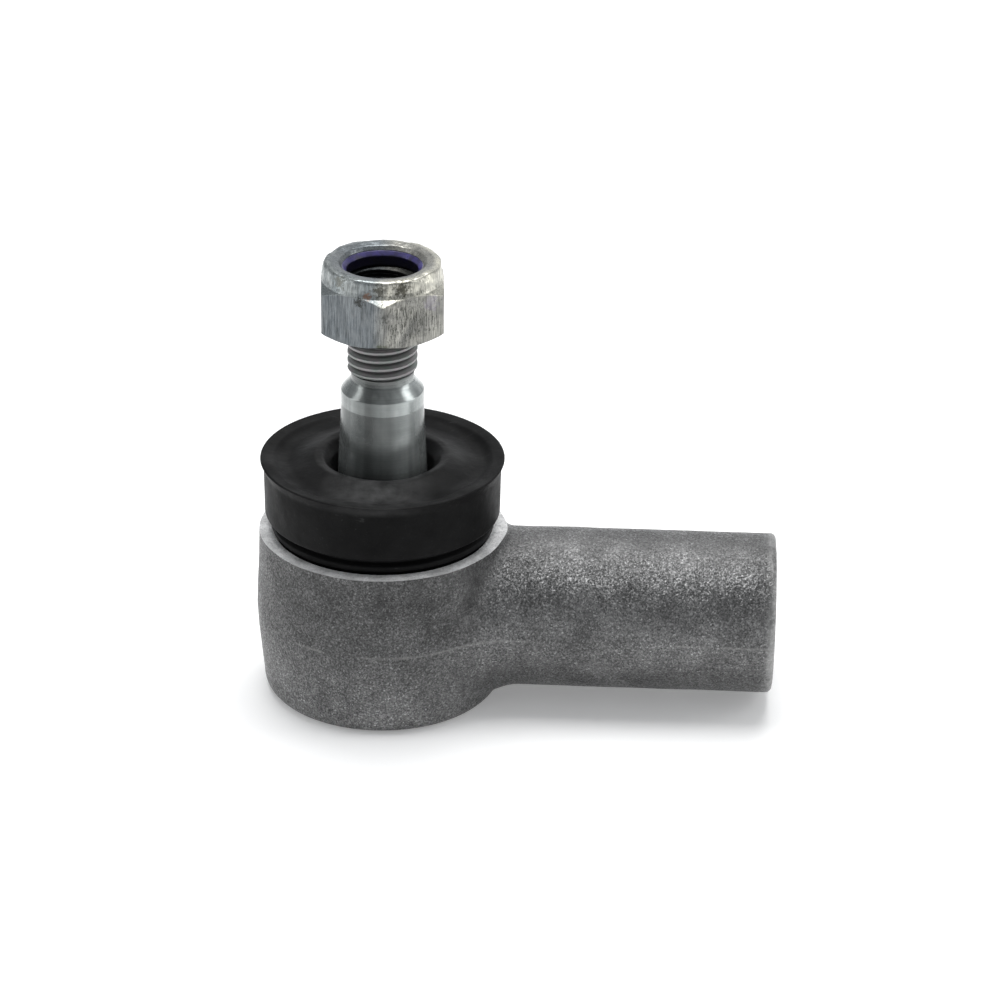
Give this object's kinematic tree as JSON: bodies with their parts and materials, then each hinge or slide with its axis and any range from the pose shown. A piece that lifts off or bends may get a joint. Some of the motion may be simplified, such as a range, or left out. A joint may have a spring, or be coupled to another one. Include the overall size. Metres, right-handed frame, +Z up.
{
  "type": "tie rod end",
  "caption": "Ball-joint tie rod end: forged housing with a female-threaded shank, tapered ball stud, rubber dust boot and nylon-insert lock nut.",
  "frame": {"origin": "centre of the flat resting face under the housing, on the stud's axis", "axes": "+Z up along the upright stud, +X along the shank away from the ball"},
  "size_m": [0.0746, 0.0362, 0.0659],
  "materials": {
    "forged_steel": "shot-blasted forging, bare, with a machined rim and end face",
    "spring_steel": "dark oiled spring steel",
    "seat_plastic": "natural acetal",
    "turned_steel": "turned",
    "boot_rubber": "matte moulded rubber",
    "stud_steel": "ground taper, rolled thread, lightly oiled",
    "nylon": "dyed nylon",
    "zinc_plate": "bright zinc plate with handling marks"
  },
  "bodies": {
    "housing_body": {"housing": "forged_steel", "disc_spring": "spring_steel", "lower_seat": "seat_plastic", "upper_seat": "seat_plastic", "closing_ring": "turned_steel", "circlip": "spring_steel"},
    "boot_body": {"dust_boot": "boot_rubber", "boot_bead_ring": "spring_steel"},
    "neck_body": {"boot_neck_ring": "spring_steel"},
    "stud_body": {"ball_stud": "stud_steel"},
    "insert_body": {"nylon_insert": "nylon"},
    "nut_body": {"lock_nut": "zinc_plate"}
  },
  "joints": [
    {"name": "boot_turn", "type": "hinge", "parent": "housing_body", "child": "boot_body", "pos_m": [0, 0, 0.0128], "axis": [0, 0, 1], "continuous": true},
    {"name": "stud_tilt", "type": "hinge", "parent": "boot_body", "child": "neck_body", "pos_m": [0, 0, 0.0128], "axis": [1, 0, 0], "range_deg": [-20, 20], "deforming": ["dust_boot"]},
    {"name": "stud_spin", "type": "hinge", "parent": "neck_body", "child": "stud_body", "pos_m": [0, 0, 0.0128], "axis": [0, 0, 1], "continuous": true},
    {"name": "nut_travel", "type": "slide", "parent": "stud_body", "child": "insert_body", "axis": [0, 0, 1], "range_m": [-0.0051, 0.0039]},
    {"name": "nut_turn", "type": "hinge", "parent": "insert_body", "child": "nut_body", "pos_m": [0, 0, 0.0559], "axis": [0, 0, 1], "range_deg": [-1440, 1080]}
  ],
  "couplings": [
    {"joint": "nut_travel", "follows": "nut_turn", "m_per_rad": 0.00019894}
  ]
}
